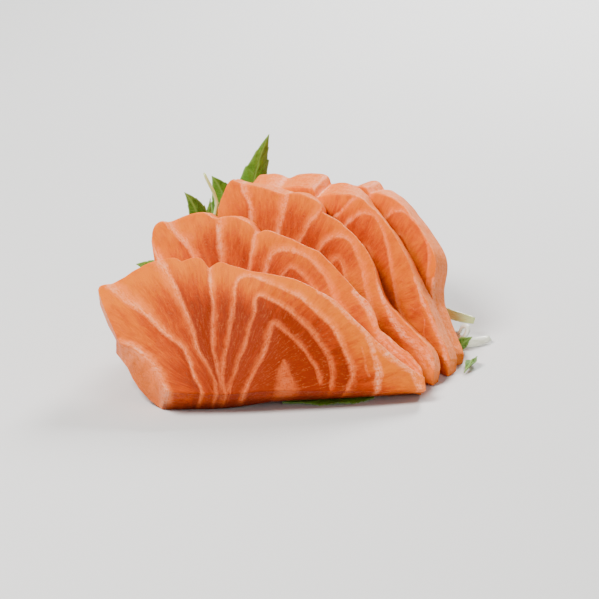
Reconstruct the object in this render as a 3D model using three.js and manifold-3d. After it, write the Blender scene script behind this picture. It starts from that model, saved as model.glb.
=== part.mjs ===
// Salmon sashimi: five slices of one block, fanned out round their tails and leaning back on each
// other, with serrated leaves and a small heap of shredded white radish behind them.
// Millimetres, +Z up. The fan's own frame has X along the front slice, Y away from the front and its
// origin at the front slice's lower left corner; the finished part is moved so that the origin lies
// under its middle, on the surface that it rests on.
import * as THREE from 'three';
import { mergeVertices } from 'three/addons/utils/BufferGeometryUtils.js';
import Module from 'manifold-3d';

const wasm = await Module();
wasm.setup();

// Sizes that all the slices share
const FACE_ROWS = 5;
const EDGE_ROUND = 0.5;
const SINK = 0.3;
const LIFT_FROM = 12;
const LIFT_TO = 30;
const FOOT = 1;
const SLANT_REACH = 24;
const SLANT_FROM = 12;
const SLANT_TO = 34;
const END_SPREAD = 3;
const THINNING = 1.2;
const CLEARANCE = 0.4;
const WELD = 1e-4;
const LEAF_CLEARANCE = 1.1;
const BASE_STEPS = 48;

// How far the broad end lies beyond a straight line, row by row up the slice: at the back face and at
// the front one. The front slice is trimmed to a flap below a corner, and the others swell a little.
const TRIMMED_END = { back: [-0.2, -2.8, -2.7, -1.8, -1, 0], front: [0.9, 1.4, -0.3, -2.4, -1.5, 0] };
const PLAIN_END = { back: [0, -0.6, -0.8, -0.7, -0.3, 0], front: [0, -0.6, -0.8, -0.7, -0.3, 0] };

// Each slice stands on the lower edge of its back face. tail is where that edge ends, turn its heading
// in degrees at the broad end and at the tail, lean how far it leans back there, and slant how much
// further up the back face reaches than the front one, for each millimetre between them; shear is how
// far the back face lies towards the broad end in the tail half, again for each millimetre. edge is the
// outer edge of the front face, as [along, up] from the broad end to the tail, with a notch where a
// band of fat meets it.
const SLICES = [
  {
    name: 'slice_1',
    tail: [59.5, 5.8],
    turn: [-1, -10],
    lean: [54, 36],
    length: 60,
    thickness: [9, 4],
    slant: [0.1, 0],
    shear: 0,
    lift: 1.7,
    end: TRIMMED_END,
    edge: [
      [-14.3, 27.9], [-13.8, 28.9], [-12.3, 29.3], [-11, 29.5], [-8.7, 31], [-6, 33], [-1.8, 35.6],
      [3.6, 36.4], [5.5, 35.4], [8, 36.3], [10.5, 36], [12.4, 33.2], [15, 34.6], [17.7, 33.6],
      [21.7, 31.6], [26.2, 29.9], [30.6, 28.9], [33.5, 28], [36, 26.6], [41, 23.5], [43.6, 21.2],
      [46.4, 18], [49, 15.3], [51.3, 12.5], [54.9, 8.9], [58.2, 5.9], [60.4, 4.3], [62, 3],
    ],
  },
  {
    name: 'slice_2',
    tail: [62, 9.8],
    turn: [8, 23],
    lean: [31, 19],
    length: 61,
    thickness: [10, 4],
    slant: [0.15, -0.25],
    shear: 0.3,
    lift: 0,
    end: PLAIN_END,
    edge: [
      [-7.3, 28.5], [-7, 31.8], [-5.4, 33.4], [-2.6, 33.6], [1.8, 35.6], [4.8, 36.1], [7.8, 35],
      [11.5, 36], [15.2, 34.8], [17.9, 32.6], [20, 33.5], [24, 32.5], [29, 31.1], [33.2, 29.7],
      [36.4, 27.2], [39.9, 24.3], [43.4, 21.4], [46, 19.8], [48, 17.2], [49.4, 14.1], [50.6, 13.1],
      [52.4, 12.1], [55, 10.4], [57.4, 9.2], [59.2, 7.7], [60.6, 6.4], [61.4, 4.6],
    ],
  },
  {
    name: 'slice_3',
    tail: [66.7, 15.5],
    turn: [9, 46],
    lean: [26, 11],
    length: 61,
    thickness: [11.5, 4],
    slant: [0.11, -0.3],
    shear: 0.4,
    lift: 0,
    end: PLAIN_END,
    edge: [
      [-1.4, 30.5], [-0.9, 33], [-0.3, 34.8], [0.5, 37.1], [1.5, 38.4], [2.4, 38.1], [4, 37.6],
      [7.2, 37.5], [10.4, 37.1], [14.2, 36.4], [16.4, 36.9], [18.8, 37.2], [20.8, 36.8], [23, 36],
      [24, 35], [24.4, 33.8], [27.3, 33], [30.5, 31.6], [33.7, 29.8], [37, 27.1], [39.8, 23.7],
      [42.5, 18.9], [45, 16.3], [48.5, 14.1], [52, 12.1], [56, 10.2], [59.2, 8.2], [60.8, 5.4],
      [61, 4],
    ],
  },
  {
    name: 'slice_4',
    tail: [72, 19.8],
    turn: [14, 57],
    lean: [22, 6],
    length: 60,
    thickness: [10, 4],
    slant: [0.38, -0.3],
    shear: 0.5,
    lift: 0,
    end: PLAIN_END,
    edge: [
      [-5.5, 30], [-5.6, 32], [-4.3, 33], [0, 33.4], [2.2, 32.7], [5, 34], [10.6, 34.8], [12.4, 32.8],
      [15.6, 34.1], [19.4, 35], [22.9, 35.2], [25.9, 34.3], [30.2, 32.2], [35.4, 28.8], [40.3, 24.2],
      [44.9, 19], [47.6, 16.6], [50.3, 13.8], [54.1, 9.6], [57.2, 6.6], [58.6, 4.6],
    ],
  },
  {
    name: 'slice_5',
    tail: [73.2, 24.2],
    turn: [20, 70],
    lean: [19, 9],
    length: 60,
    thickness: [9, 4],
    slant: [0.2, -0.2],
    shear: 0.4,
    lift: 0,
    end: PLAIN_END,
    edge: [
      [-6, 26.5], [-6, 28.2], [-4, 28.8], [1, 29.4], [3, 29.2], [6, 30.1], [10.5, 30.6], [12.3, 31],
      [15.3, 33], [17.5, 33.3], [19.4, 32.1], [22.3, 32.9], [27.5, 32.5], [33, 30.1], [37.5, 27.4],
      [41.8, 24.7], [44.1, 22.4], [44.9, 20], [45, 15.6], [46.6, 11.9], [49.4, 9.4], [52.2, 7.2],
      [56, 4.8], [58.2, 3.4],
    ],
  },
];

// Leaves: where the midrib starts, bends and ends, the side that the blade spreads to, its width,
// how deeply it folds along the midrib and how much its margin waves.
const LEAF_THICKNESS = 0.5;
const LEAF_STEPS = 12;
const LEAF_ACROSS = [-1, -0.55, 0, 0.55, 1];
const LEAF_TOOTH = 0.16;
const LEAF_TIP = 0.3;
const LEAF_OVERRUN = 0.08;
const LEAF_OUTLINE = [0.08, 0.995];
const LEAF_FULLNESS = 0.8;
const LEAF_WAVE_PITCH = 1.3;
const LEAF_WAVE_SKEW = 2;
const LEAVES = [
  {
    name: 'leaf_tall',
    from: [19, 72, 0.5],
    bend: [17.5, 73, 26],
    tip: [24.9, 73, 42.6],
    side: [1, 0.15, 0.2],
    width: 12,
    fold: 0.25,
    wave: 0.6,
  },
  {
    name: 'leaf_middle',
    from: [13, 60, 0.5],
    bend: [18, 64, 26],
    tip: [10.8, 63, 35.1],
    side: [0.9, 0.1, 0.4],
    width: 12.5,
    fold: 0.3,
    wave: 0.5,
  },
  {
    name: 'leaf_left',
    from: [3.5, 50.5, 0.5],
    bend: [12.4, 50.5, 27],
    tip: [4.5, 49.5, 35.7],
    side: [0.75, 0.1, 0.65],
    width: 9.4,
    fold: 0.25,
    wave: 0.5,
  },
  {
    name: 'leaf_short',
    from: [8.3, 55.5, 0.5],
    bend: [9.2, 55.5, 20],
    tip: [10.6, 55, 32.1],
    side: [1, 0.1, 0.1],
    width: 4.4,
    fold: 0.25,
    wave: 0.3,
  },
  {
    name: 'leaf_low',
    from: [-1.5, 41, 0.5],
    bend: [2.5, 41, 19.5],
    tip: [-7.2, 42, 19.9],
    side: [0.25, 0.15, 1],
    width: 9,
    fold: 0.2,
    wave: 0.4,
  },
  {
    name: 'leaf_base',
    from: [50, 7, 0.35],
    bend: [41, 5.4, 0.35],
    tip: [28.5, 3.2, 0.35],
    side: [0, 1, 0],
    width: 7,
    fold: 0,
    wave: 0.25,
  },
  {
    name: 'leaf_right',
    from: [71, 34, 0.6],
    bend: [71.6, 34, 2.6],
    tip: [74.4, 34.4, 3.9],
    side: [0.6, 0.1, -0.7],
    width: 3.6,
    fold: 0.2,
    wave: 0.2,
  },
  {
    name: 'leaf_curl',
    from: [73.6, 27.6, 0.4],
    bend: [74.7, 24.2, 2.8],
    tip: [71.8, 20.3, 0.6],
    side: [1, 0.2, 0.3],
    width: 3.4,
    fold: 0.2,
    wave: 0.4,
  },
];

// The heaps of shredded radish: a core, ribbons that lie over it, and loose ones with their own path.
// One heap props the rear slice, and the other holds the leaves at the broad end of the fan.
const HEAP_SIDES = 16;
const HEAP_RISES = 5;
const RIBBON_THICKNESS = 1;
const RIBBON_STEPS = 6;
const RIBBON_KNOTS = 3;
const RIBBON_WIDTH = [1.8, 2.6];
const RIBBON_TWIST = [-0.9, 0.9];
const RIBBON_OFFSET = [-0.75, 0.75];
const RIBBON_REACH = [0.75, 1.12];
const RIBBON_HEADING_SPREAD = 0.12;
const RIBBON_WANDER = 0.12;
const RIBBON_WANDER_PITCH = 1.7;
const RIBBON_OUT = 1.03;
const RIBBON_UP = 1.02;
const RIBBON_LOWEST = 0.03;
const LOOSE_STEPS = 12;
const LOOSE_TWIST = 0.5;
const HEAPS = [
  {
    name: 'radish_heap',
    middle: [53, 66],
    size: [14, 10, 19],
    turn: -30,
    ribbons: 12,
    seed: 7,
    loose: [
      {
        width: 2.4,
        roll: 0.6,
        path: [
          [58, 62, 3], [66, 51, 1.3], [70.4, 42, 1.1], [72.3, 38.2, 1.1], [74.3, 37.4, 1.1],
          [79.2, 40.2, 1.1],
        ],
      },
      {
        width: 1.5,
        roll: 0,
        path: [
          [58, 60, 4], [65, 51, 2.5], [70.8, 42, 1.6], [72.4, 40.7, 4.1], [73.7, 39.9, 4.2],
          [73.2, 39, 2.7], [71.7, 38.2, 1],
        ],
      },
      { width: 2.4, roll: 0.9, path: [[57, 62, 7], [63, 54, 6.6], [68.8, 46, 5.5], [75.4, 43, 4.6]] },
    ],
  },
  {
    name: 'radish_left',
    middle: [9, 59],
    size: [17, 8, 13],
    turn: 62,
    ribbons: 9,
    seed: 3,
    loose: [{ width: 1, roll: 0, path: [[7.5, 52, 9], [9.5, 53, 22], [12.2, 53.5, 31], [9.2, 54, 39.1]] }],
  },
];

const RANDOM_FACTOR = 16807;
const RANDOM_RANGE = 2147483647;

const SALMON = { color: 0xf2894f, roughness: 0.32, metalness: 0 };
const GREEN = { color: 0x6f8f2a, roughness: 0.55, metalness: 0 };
const WHITE = { color: 0xe9eedb, roughness: 0.35, metalness: 0 };

const radians = THREE.MathUtils.degToRad;
const mix = THREE.MathUtils.lerp;
const clamp = THREE.MathUtils.clamp;
const smoothstep = THREE.MathUtils.smoothstep;

function share(slice, along) {
  return clamp(along / slice.length, 0, 1);
}

function turnAt(slice, along) {
  return radians(mix(slice.turn[0], slice.turn[1], share(slice, along)));
}

function leanAt(slice, along) {
  return radians(mix(slice.lean[0], slice.lean[1], share(slice, along)));
}

function thicknessAt(slice, along) {
  return mix(slice.thickness[0], slice.thickness[1], share(slice, along) ** THINNING);
}

// A point of the lower back edge, found by walking back from the tail
function footAt(slice, along) {
  const step = (slice.length - along) / BASE_STEPS;
  const point = new THREE.Vector3(slice.tail[0], slice.tail[1], 0);
  for (let n = 0; n < BASE_STEPS; n += 1) {
    const turn = turnAt(slice, slice.length - (n + 0.5) * step);
    point.x -= Math.cos(turn) * step;
    point.y += Math.sin(turn) * step;
  }
  point.z = slice.lift * smoothstep(along, LIFT_FROM, LIFT_TO) - SINK;
  return point;
}

// A point of a slice: along its length, up its face and out from its back face
function inSlice(slice, along, up, out) {
  const turn = turnAt(slice, along);
  const lean = leanAt(slice, along);
  const away = new THREE.Vector3(Math.sin(turn), Math.cos(turn), 0);
  const rise = away.clone().multiplyScalar(Math.sin(lean));
  rise.z = Math.cos(lean);
  const front = away.multiplyScalar(-Math.cos(lean));
  front.z = Math.sin(lean);
  const point = footAt(slice, along).addScaledVector(rise, up).addScaledVector(front, out);
  point.z = Math.max(point.z, 0);
  return point;
}

// A point of one of the slice's layers, on a grid of columns along it and rows up it
function onLayer(slice, column, row, inset, out) {
  const last = slice.edge.length - 1;
  const [edgeAlong, edgeUp] = slice.edge[column];
  const start = slice.edge[0][0];
  const reach = (edgeAlong - start) / (SLANT_REACH - start);
  const footAlong = reach < 1 ? mix(FOOT, SLANT_REACH, reach) : edgeAlong;
  const height = row / FACE_ROWS;
  let along = mix(footAlong, edgeAlong, height);
  const thickness = thicknessAt(slice, along);
  const depth = out(thickness);
  const shift = mix(slice.end.back[row], slice.end.front[row], clamp(depth / thickness, 0, 1));
  along += shift * Math.max(0, 1 - reach * END_SPREAD);
  along += column === 0 ? inset : 0;
  along -= column === last ? inset : 0;
  const tailward = smoothstep(along, SLANT_FROM, SLANT_TO);
  const slant = mix(slice.slant[0], slice.slant[1], tailward);
  along -= slice.shear * tailward * (thickness - depth);
  const up = mix(inset, edgeUp - inset, height) + slant * (thickness - depth) * height;
  return inSlice(slice, along, up, depth);
}

// The closed solid of a slice, grown all round by some clearance where it is used to cut others
function sliceGeometry(slice, grow) {
  const last = slice.edge.length - 1;
  const layers = [
    { inset: EDGE_ROUND - grow, out: (thickness) => thickness + grow },
    { inset: -grow, out: (thickness) => thickness - EDGE_ROUND },
    { inset: -grow, out: () => EDGE_ROUND },
    { inset: EDGE_ROUND - grow, out: () => -grow },
  ];
  const rim = [];
  for (let column = 0; column < last; column += 1) rim.push([column, 0]);
  for (let row = 0; row < FACE_ROWS; row += 1) rim.push([last, row]);
  for (let column = last; column > 0; column -= 1) rim.push([column, FACE_ROWS]);
  for (let row = FACE_ROWS; row > 0; row -= 1) rim.push([0, row]);

  const points = [];
  const faces = [];
  const addPoint = (column, row, layer) => {
    points.push(onLayer(slice, column, row, layer.inset, layer.out));
    return points.length - 1;
  };
  const addQuad = (a, b, c, d) => faces.push([a, b, c], [a, c, d]);
  const addColumn = (column, layer) =>
    Array.from({ length: FACE_ROWS + 1 }, (_, row) => addPoint(column, row, layer));
  const addGrid = (layer) => slice.edge.map((_, column) => addColumn(column, layer));
  const grids = [addGrid(layers[0]), addGrid(layers[3])];
  for (let column = 0; column < last; column += 1) {
    for (let row = 0; row < FACE_ROWS; row += 1) {
      const [front, back] = grids.map((grid) => [
        grid[column][row],
        grid[column + 1][row],
        grid[column + 1][row + 1],
        grid[column][row + 1],
      ]);
      addQuad(...front);
      addQuad(...back.reverse());
    }
  }
  const rings = [
    rim.map(([column, row]) => grids[0][column][row]),
    rim.map(([column, row]) => addPoint(column, row, layers[1])),
    rim.map(([column, row]) => addPoint(column, row, layers[2])),
    rim.map(([column, row]) => grids[1][column][row]),
  ];
  for (let ring = 0; ring < rings.length - 1; ring += 1) {
    for (let n = 0; n < rim.length; n += 1) {
      const next = (n + 1) % rim.length;
      addQuad(rings[ring][n], rings[ring + 1][n], rings[ring + 1][next], rings[ring][next]);
    }
  }
  return meshGeometry(points, faces);
}

function meshGeometry(points, faces) {
  const geometry = new THREE.BufferGeometry();
  const numbers = points.flatMap((p) => p.toArray());
  geometry.setAttribute('position', new THREE.Float32BufferAttribute(numbers, 3));
  geometry.setIndex(faces.flat());
  return geometry;
}

// A leaf: a thin blade about a bent midrib, toothed at its margin
function leafGeometry(leaf, grow) {
  const midrib = new THREE.QuadraticBezierCurve3(
    new THREE.Vector3(...leaf.from),
    new THREE.Vector3(...leaf.bend),
    new THREE.Vector3(...leaf.tip),
  );
  const side = new THREE.Vector3(...leaf.side).normalize();
  const points = [];
  const across = LEAF_ACROSS.length;
  for (const face of [1, -1]) {
    for (let step = 0; step <= LEAF_STEPS; step += 1) {
      const t = mix(-grow * LEAF_OVERRUN, 1 + grow * LEAF_OVERRUN, step / LEAF_STEPS);
      const normal = midrib.getTangent(clamp(t, 0, 1)).cross(side).normalize();
      const tooth = step % 2 ? 1 : 1 - LEAF_TOOTH;
      const outline = Math.sin(Math.PI * mix(...LEAF_OUTLINE, clamp(t, 0, 1)) ** LEAF_FULLNESS);
      const half = Math.max(LEAF_TIP, (leaf.width / 2) * tooth * outline) + grow;
      for (const place of LEAF_ACROSS) {
        const phase = step * LEAF_WAVE_PITCH + LEAF_WAVE_SKEW * place;
        const wave = leaf.wave * Math.sin(phase) * Math.abs(place) * Math.sin(Math.PI * t);
        const lift = leaf.fold * half * Math.abs(place) + wave + face * (LEAF_THICKNESS / 2 + grow);
        const point = midrib.getPoint(t).addScaledVector(side, half * place).addScaledVector(normal, lift);
        point.z = Math.max(point.z, -grow);
        points.push(point);
      }
    }
  }
  return bladeGeometry(points, LEAF_STEPS + 1, across);
}

// Closes two like grids of points, one above the other, into a thin solid
function bladeGeometry(points, rows, columns) {
  const faces = [];
  const at = (face, row, column) => face * rows * columns + row * columns + column;
  const addQuad = (a, b, c, d) => faces.push([a, b, c], [a, c, d]);
  for (let row = 0; row < rows - 1; row += 1) {
    for (let column = 0; column < columns - 1; column += 1) {
      for (const face of [0, 1]) {
        const a = at(face, row, column);
        const b = at(face, row, column + 1);
        const c = at(face, row + 1, column + 1);
        const d = at(face, row + 1, column);
        faces.push(...(face ? [[a, b, c], [a, c, d]] : [[a, c, b], [a, d, c]]));
      }
    }
  }
  const rim = [];
  for (let column = 0; column < columns - 1; column += 1) rim.push([0, column]);
  for (let row = 0; row < rows - 1; row += 1) rim.push([row, columns - 1]);
  for (let column = columns - 1; column > 0; column -= 1) rim.push([rows - 1, column]);
  for (let row = rows - 1; row > 0; row -= 1) rim.push([row, 0]);
  rim.forEach(([row, column], n) => {
    const [nextRow, nextColumn] = rim[(n + 1) % rim.length];
    addQuad(at(0, row, column), at(0, nextRow, nextColumn), at(1, nextRow, nextColumn), at(1, row, column));
  });
  return meshGeometry(points, faces);
}

// A flat ribbon along a curve, kept above the surface that it lies on
function ribbonGeometry(path, width, roll, twist, steps) {
  const curve = new THREE.CatmullRomCurve3(path.map((p) => new THREE.Vector3(...p)));
  const points = [];
  const faces = [];
  for (let step = 0; step <= steps; step += 1) {
    const t = step / steps;
    const tangent = curve.getTangent(t);
    const across = new THREE.Vector3(0, 0, 1).cross(tangent).normalize();
    across.applyAxisAngle(tangent, roll + twist * Math.sin(Math.PI * t));
    const normal = tangent.clone().cross(across).normalize();
    for (const [x, y] of [[-1, -1], [1, -1], [1, 1], [-1, 1]]) {
      const point = curve.getPoint(t);
      point.addScaledVector(across, (x * width) / 2).addScaledVector(normal, (y * RIBBON_THICKNESS) / 2);
      point.z = Math.max(point.z, y > 0 ? RIBBON_THICKNESS : 0);
      points.push(point);
    }
  }
  for (let step = 0; step < steps; step += 1) {
    for (let side = 0; side < 4; side += 1) {
      const a = step * 4 + side;
      const b = step * 4 + ((side + 1) % 4);
      faces.push([a, b, b + 4], [a, b + 4, a + 4]);
    }
  }
  const end = steps * 4;
  faces.push([0, 3, 2], [0, 2, 1], [end, end + 1, end + 2], [end, end + 2, end + 3]);
  return meshGeometry(points, faces);
}

// A repeatable row of numbers from 0 to 1
function randomFrom(seed) {
  let state = seed;
  return () => {
    state = (state * RANDOM_FACTOR) % RANDOM_RANGE;
    return state / RANDOM_RANGE;
  };
}

// A point given on a heap of unit size, in the fan's own frame
function onHeap(heap, local) {
  const point = local.clone().multiply(new THREE.Vector3(...heap.size));
  point.applyAxisAngle(new THREE.Vector3(0, 0, 1), radians(heap.turn));
  return point.add(new THREE.Vector3(...heap.middle, 0));
}

// Ribbons that arch over the core of a heap and come down to the surface beside it
function heapRibbons(heap) {
  const random = randomFrom(heap.seed);
  const ribbons = [];
  for (let n = 0; n < heap.ribbons; n += 1) {
    const heading = Math.PI * (n / heap.ribbons + RIBBON_HEADING_SPREAD * random());
    const offset = mix(...RIBBON_OFFSET, random());
    const reach = mix(...RIBBON_REACH, random());
    const swell = Math.sqrt(1 - offset * offset);
    const path = [];
    for (let k = -RIBBON_KNOTS; k <= RIBBON_KNOTS; k += 1) {
      const angle = (k / RIBBON_KNOTS) * (Math.PI / 2) * reach;
      const forward = Math.sin(angle) * swell * RIBBON_OUT;
      const sideways = offset + RIBBON_WANDER * Math.sin(k * RIBBON_WANDER_PITCH + n);
      const local = new THREE.Vector3(
        forward * Math.cos(heading) - sideways * Math.sin(heading),
        forward * Math.sin(heading) + sideways * Math.cos(heading),
        Math.max(Math.cos(angle) * swell * RIBBON_UP, RIBBON_LOWEST),
      );
      path.push(onHeap(heap, local).toArray());
    }
    const width = mix(...RIBBON_WIDTH, random());
    const twist = mix(...RIBBON_TWIST, random());
    ribbons.push(ribbonGeometry(path, width, 0, twist, RIBBON_STEPS));
  }
  return ribbons;
}

// The core of a heap: a low dome
function heapCore(heap) {
  const profile = [new THREE.Vector2(0, 0)];
  for (let n = 0; n < HEAP_RISES; n += 1) {
    const angle = (n / HEAP_RISES) * (Math.PI / 2);
    profile.push(new THREE.Vector2(Math.cos(angle), Math.sin(angle)));
  }
  profile.push(new THREE.Vector2(0, 1));
  const dome = new THREE.LatheGeometry(profile, HEAP_SIDES).rotateX(Math.PI / 2);
  const position = dome.attributes.position;
  for (let n = 0; n < position.count; n += 1) {
    const point = onHeap(heap, new THREE.Vector3().fromBufferAttribute(position, n));
    position.setXYZ(n, point.x, point.y, point.z);
  }
  return dome;
}

function toSolid(geometry) {
  const bare = geometry.clone();
  bare.deleteAttribute('normal');
  bare.deleteAttribute('uv');
  const merged = mergeVertices(bare, WELD);
  const solid = new wasm.Mesh({
    numProp: 3,
    vertProperties: new Float32Array(merged.attributes.position.array),
    triVerts: new Uint32Array(merged.index.array),
  });
  return new wasm.Manifold(solid);
}

function toGeometry(solid) {
  const mesh = solid.getMesh();
  const geometry = new THREE.BufferGeometry();
  geometry.setAttribute('position', new THREE.BufferAttribute(new Float32Array(mesh.vertProperties), 3));
  geometry.setIndex(new THREE.BufferAttribute(new Uint32Array(mesh.triVerts), 1));
  return geometry;
}

// The largest piece that a cut leaves
function largest(solid) {
  return solid.decompose().reduce((a, b) => (a.volume() > b.volume() ? a : b));
}

const fan = new THREE.Group();

function addPiece(name, geometry, finish) {
  geometry.computeVertexNormals();
  const mesh = new THREE.Mesh(geometry, new THREE.MeshStandardMaterial(finish));
  mesh.name = name;
  fan.add(mesh);
}

const grownSlices = SLICES.map((slice) => toSolid(sliceGeometry(slice, CLEARANCE)));
SLICES.forEach((slice, n) => {
  const own = toSolid(sliceGeometry(slice, 0));
  const pressed = n > 0 ? largest(own.subtract(grownSlices[n - 1])) : own;
  addPiece(slice.name, toGeometry(pressed), SALMON);
});

LEAVES.forEach((leaf) => addPiece(leaf.name, leafGeometry(leaf, 0), GREEN));

const grownLeaves = LEAVES.map((leaf) => toSolid(leafGeometry(leaf, LEAF_CLEARANCE)));
HEAPS.forEach((heap) => {
  const ribbons = heapRibbons(heap);
  for (const { width, roll, path } of heap.loose) {
    ribbons.push(ribbonGeometry(path, width, roll, LOOSE_TWIST, LOOSE_STEPS));
  }
  let solid = ribbons.reduce((whole, ribbon) => whole.add(toSolid(ribbon)), toSolid(heapCore(heap)));
  for (const other of [...grownSlices, ...grownLeaves]) solid = solid.subtract(other);
  addPiece(heap.name, toGeometry(largest(solid)), WHITE);
});

// The origin goes under the middle of the whole, on the surface that it rests on
const bounds = new THREE.Box3().setFromObject(fan);
const middle = bounds.getCenter(new THREE.Vector3());
fan.position.set(-middle.x, -middle.y, -bounds.min.z);

export default fan;
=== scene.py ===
"""Looks of the fanned salmon slices: flesh with bands of fat, leaves and shredded radish."""

import math

import bpy
import numpy as np
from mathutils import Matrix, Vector
from mathutils.bvhtree import BVHTree


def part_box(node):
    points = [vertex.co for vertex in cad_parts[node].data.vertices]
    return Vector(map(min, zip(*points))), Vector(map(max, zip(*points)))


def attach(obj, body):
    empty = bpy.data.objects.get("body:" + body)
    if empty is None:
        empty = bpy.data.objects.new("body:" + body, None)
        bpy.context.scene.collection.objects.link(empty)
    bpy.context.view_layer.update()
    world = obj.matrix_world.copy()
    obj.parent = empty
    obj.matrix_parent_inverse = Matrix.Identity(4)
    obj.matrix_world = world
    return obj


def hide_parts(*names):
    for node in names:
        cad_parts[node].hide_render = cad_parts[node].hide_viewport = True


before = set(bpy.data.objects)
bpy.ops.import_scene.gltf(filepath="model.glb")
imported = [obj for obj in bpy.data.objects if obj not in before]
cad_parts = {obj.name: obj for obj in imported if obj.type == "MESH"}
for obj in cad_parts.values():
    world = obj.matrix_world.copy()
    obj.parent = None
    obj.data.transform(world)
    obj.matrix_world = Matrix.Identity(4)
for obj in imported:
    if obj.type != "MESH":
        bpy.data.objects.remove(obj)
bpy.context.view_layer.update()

MM = 0.001
# Where the fan's own frame lies in the part's frame, in millimetres
SHIFT = np.array([-32.485, -36.960, 0.0])

# Sizes that all the slices share, in millimetres, by the same values as the solids
SINK = 0.3
LIFT = (12, 30)
FOOT = 1
SLANT_REACH = 24
SLANT_SPAN = (12, 34)
END_SPREAD = 3
THINNING = 1.2
# These are finer than those of the solids
EDGE_ROUND = 0.4
CLEARANCE = 0.2
LEAST_THICKNESS = 0.5

# How far the broad end lies beyond a straight line at the front and the back, as (share of height, distance)
PLAIN_SIDE = [(0, 0), (0.2, -0.6), (0.4, -0.8), (0.6, -0.7), (0.8, -0.3), (1, 0)]
PLAIN_END = dict(front=PLAIN_SIDE, back=PLAIN_SIDE)

# The slices, by the values of the solids, with the trimmed end of the first one drawn more finely. tail is
# where the lower edge of the back ends, turn its heading and lean its lean in degrees at the broad end and
# at the tail, and edge the outer edge as [along, up]. film is how strongly a membrane shows on the outer
# side, at the tail and elsewhere
SLICES = [
    dict(
        name="slice_1", tail=(59.5, 5.8), turn=(-1, -10), lean=(54, 36), length=60, thick=(9, 4),
        slant=(0.1, 0), shear=0, lift=1.7, film=(0.4, 0),
        end=dict(
            front=[(0, 0.9), (0.12, 1.2), (0.25, 1.6), (0.35, 0.6), (0.43, -0.9), (0.47, -2.8), (0.54, -2.6),
                   (0.7, -2), (0.85, -1.2), (0.93, -0.7), (1, -0.1)],
            back=[(0, -0.2), (0.1, -2), (0.2, -2.8), (0.3, -2.9), (0.4, -2.5), (0.5, -2.85), (0.54, -3.1),
                  (0.58, -1.9), (0.62, -1.35), (0.7, -1.1), (0.8, -1), (1, 0)],
        ),
        edge=[(-14.3, 27.9), (-13.8, 28.9), (-12.3, 29.3), (-11, 29.5), (-8.7, 31), (-6, 33), (-1.8, 35.6),
              (3.6, 36.4), (5.5, 35.4), (8, 36.3), (10.5, 36), (12.4, 33.2), (15, 34.6), (17.7, 33.6),
              (21.7, 31.6), (26.2, 29.9), (30.6, 28.9), (33.5, 28), (36, 26.6), (41, 23.5), (43.6, 21.2),
              (46.4, 18), (49, 15.3), (51.3, 12.5), (54.9, 8.9), (58.2, 5.9), (60.4, 4.3), (62, 3)],
    ),
    dict(
        name="slice_2", tail=(62, 9.8), turn=(8, 23), lean=(31, 19), length=61, thick=(10, 4),
        slant=(0.15, -0.25), shear=0.3, lift=0, film=(0.7, 0), end=PLAIN_END,
        edge=[(-7.3, 28.5), (-7, 31.8), (-5.4, 33.4), (-2.6, 33.6), (1.8, 35.6), (4.8, 36.1), (7.8, 35),
              (11.5, 36), (15.2, 34.8), (17.9, 32.6), (20, 33.5), (24, 32.5), (29, 31.1), (33.2, 29.7),
              (36.4, 27.2), (39.9, 24.3), (43.4, 21.4), (46, 19.8), (48, 17.2), (49.4, 14.1), (50.6, 13.1),
              (52.4, 12.1), (55, 10.4), (57.4, 9.2), (59.2, 7.7), (60.6, 6.4), (61.4, 4.6)],
    ),
    dict(
        name="slice_3", tail=(66.7, 15.5), turn=(9, 46), lean=(26, 11), length=61, thick=(11.5, 4),
        slant=(0.11, -0.3), shear=0.4, lift=0, film=(0.6, 0.5), end=PLAIN_END,
        edge=[(-1.4, 30.5), (-0.9, 33), (-0.3, 34.8), (0.5, 37.1), (1.5, 38.4), (2.4, 38.1), (4, 37.6),
              (7.2, 37.5), (10.4, 37.1), (14.2, 36.4), (16.4, 36.9), (18.8, 37.2), (20.8, 36.8), (23, 36),
              (24, 35), (24.4, 33.8), (27.3, 33), (30.5, 31.6), (33.7, 29.8), (37, 27.1), (39.8, 23.7),
              (42.5, 18.9), (45, 16.3), (48.5, 14.1), (52, 12.1), (56, 10.2), (59.2, 8.2), (60.8, 5.4),
              (61, 4)],
    ),
    dict(
        name="slice_4", tail=(72, 19.8), turn=(14, 57), lean=(22, 6), length=60, thick=(10, 4),
        slant=(0.38, -0.3), shear=0.5, lift=0, film=(0.5, 0.5), end=PLAIN_END,
        edge=[(-5.5, 30), (-5.6, 32), (-4.3, 33), (0, 33.4), (2.2, 32.7), (5, 34), (10.6, 34.8), (12.4, 32.8),
              (15.6, 34.1), (19.4, 35), (22.9, 35.2), (25.9, 34.3), (30.2, 32.2), (35.4, 28.8), (40.3, 24.2),
              (44.9, 19), (47.6, 16.6), (50.3, 13.8), (54.1, 9.6), (57.2, 6.6), (58.6, 4.6)],
    ),
    dict(
        name="slice_5", tail=(73.2, 24.2), turn=(20, 70), lean=(19, 9), length=60, thick=(9, 4),
        slant=(0.2, -0.2), shear=0.4, lift=0, film=(0.6, 0.45), end=PLAIN_END,
        edge=[(-6, 26.5), (-6, 28.2), (-4, 28.8), (1, 29.4), (3, 29.2), (6, 30.1), (10.5, 30.6), (12.3, 31),
              (15.3, 33), (17.5, 33.3), (19.4, 32.1), (22.3, 32.9), (27.5, 32.5), (33, 30.1), (37.5, 27.4),
              (41.8, 24.7), (44.1, 22.4), (44.9, 20), (45, 15.6), (46.6, 11.9), (49.4, 9.4), (52.2, 7.2),
              (56, 4.8), (58.2, 3.4)],
    ),
]

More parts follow.
